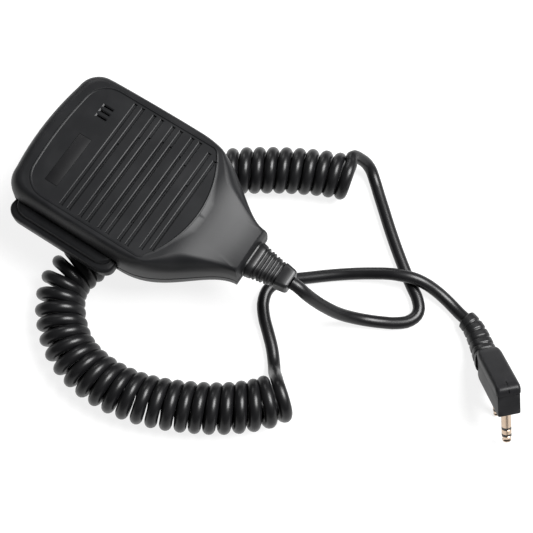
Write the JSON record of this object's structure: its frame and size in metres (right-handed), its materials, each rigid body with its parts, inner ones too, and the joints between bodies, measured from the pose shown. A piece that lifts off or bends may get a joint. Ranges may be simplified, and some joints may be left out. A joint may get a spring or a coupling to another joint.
{
  "type": "hand microphone",
  "caption": "Palm-size hand microphone with grooved speaker panel, side talk bar, swivel belt clip, curly cord and right-angle two-pin plug.",
  "frame": {"origin": "foot of the clip's swivel axis, on the flat outer face of the clip's jaw that the microphone rests on", "axes": "+Z out of the front of the case, +Y along the case towards its wide end, +X away from the talk bar; the neck and the cord point to -Y"},
  "size_m": [0.1326, 0.195, 0.04],
  "materials": {
    "case_plastic": "fine satin grain",
    "label_plastic": "plain dark blank plate",
    "grille_cloth": "woven",
    "soft_rubber": "matt",
    "plated_steel": "zinc plated",
    "magnet_iron": "sintered",
    "cone_paper": "pressed paper",
    "copper": "enamelled winding",
    "aluminium": "satin",
    "board_green": "solder mask",
    "part_plastic": "moulded",
    "ivory_plastic": "moulded",
    "bar_plastic": "fine satin grain",
    "screw_steel": "plated",
    "cord_jacket": "satin jacket",
    "wire_pvc": "insulated wire",
    "relief_rubber": "satin moulding",
    "brass": "turned",
    "clip_steel": "dark plated spring steel",
    "plug_plastic": "fine satin",
    "contact_metal": "polished pale gold plate",
    "insulator_plastic": "black"
  },
  "bodies": {
    "case": {"front_case": "case_plastic", "rear_case": "case_plastic", "label_plate": "label_plastic", "grille_cloth": "grille_cloth", "speaker_gasket": "soft_rubber", "speaker_frame": "plated_steel", "speaker_yoke": "plated_steel", "speaker_magnet": "magnet_iron", "speaker_pole_plate": "plated_steel", "speaker_surround": "soft_rubber", "mic_capsule": "aluminium", "mic_boot": "soft_rubber", "circuit_board": "board_green", "board_parts": "part_plastic", "ptt_switch": "part_plastic", "ptt_pin": "plated_steel", "earphone_jack": "part_plastic", "case_screws": "screw_steel", "inner_cable": "cord_jacket", "cord_clamp": "plated_steel", "clamp_screws": "screw_steel", "inner_wires": "wire_pvc", "strain_relief": "relief_rubber", "swivel_stud": "brass", "swivel_washer": "plated_steel", "cord_lead_mic": "cord_jacket", "cord_curl": "cord_jacket", "cord_lead_plug": "cord_jacket", "plug_boot": "relief_rubber", "plug_body": "plug_plastic", "plug_cap": "plug_plastic", "big_pin_sleeve": "contact_metal", "big_pin_ring": "contact_metal", "big_pin_tip": "contact_metal", "big_pin_insulators": "insulator_plastic", "small_pin_sleeve": "contact_metal", "small_pin_ring": "contact_metal", "small_pin_tip": "contact_metal", "small_pin_insulators": "insulator_plastic"},
    "talk_bar": {"ptt_button": "bar_plastic"},
    "switch_plunger": {"ptt_plunger": "ivory_plastic"},
    "jack_flap": {"jack_cover": "soft_rubber"},
    "cone": {"speaker_cone": "cone_paper", "dust_cap": "cone_paper", "voice_coil": "copper"},
    "clip": {"clip_plate": "clip_steel", "clip_pin": "plated_steel", "clip_spring": "plated_steel"},
    "clip_jaw": {"clip_jaw": "clip_steel"}
  },
  "joints": [
    {"name": "talk_press", "type": "hinge", "parent": "case", "child": "talk_bar", "pos_m": [-0.0234, 0.004, 0.0285], "axis": [0, 0, 1], "range_deg": [0, 1.5], "stiffness_Nm_per_rad": 1, "springref_deg": -1},
    {"name": "switch_press", "type": "slide", "parent": "case", "child": "switch_plunger", "axis": [1, 0, 0], "range_m": [0, 0.00055]},
    {"name": "flap_open", "type": "hinge", "parent": "case", "child": "jack_flap", "pos_m": [0.0273, -0.0035, 0.03025], "axis": [0, 0, 1], "range_deg": [0, 110], "stiffness_Nm_per_rad": 0.002},
    {"name": "cone_move", "type": "slide", "parent": "case", "child": "cone", "axis": [0, 0, 1], "range_m": [-0.0003, 0.0003], "stiffness_N_per_m": 1000, "deforming": ["speaker_surround"]},
    {"name": "clip_swivel", "type": "hinge", "parent": "case", "child": "clip", "pos_m": [0, 0, 0], "axis": [0, 0, 1], "range_deg": [-30, 170]},
    {"name": "jaw_open", "type": "hinge", "parent": "clip", "child": "clip_jaw", "pos_m": [-0.009, 0, 0.0095], "axis": [0, 1, 0], "range_deg": [0, 16], "stiffness_Nm_per_rad": 0.35, "springref_deg": -28.65, "deforming": ["clip_spring"]}
  ],
  "couplings": [
    {"joint": "switch_press", "follows": "talk_press", "m_per_rad": 0.0195}
  ]
}
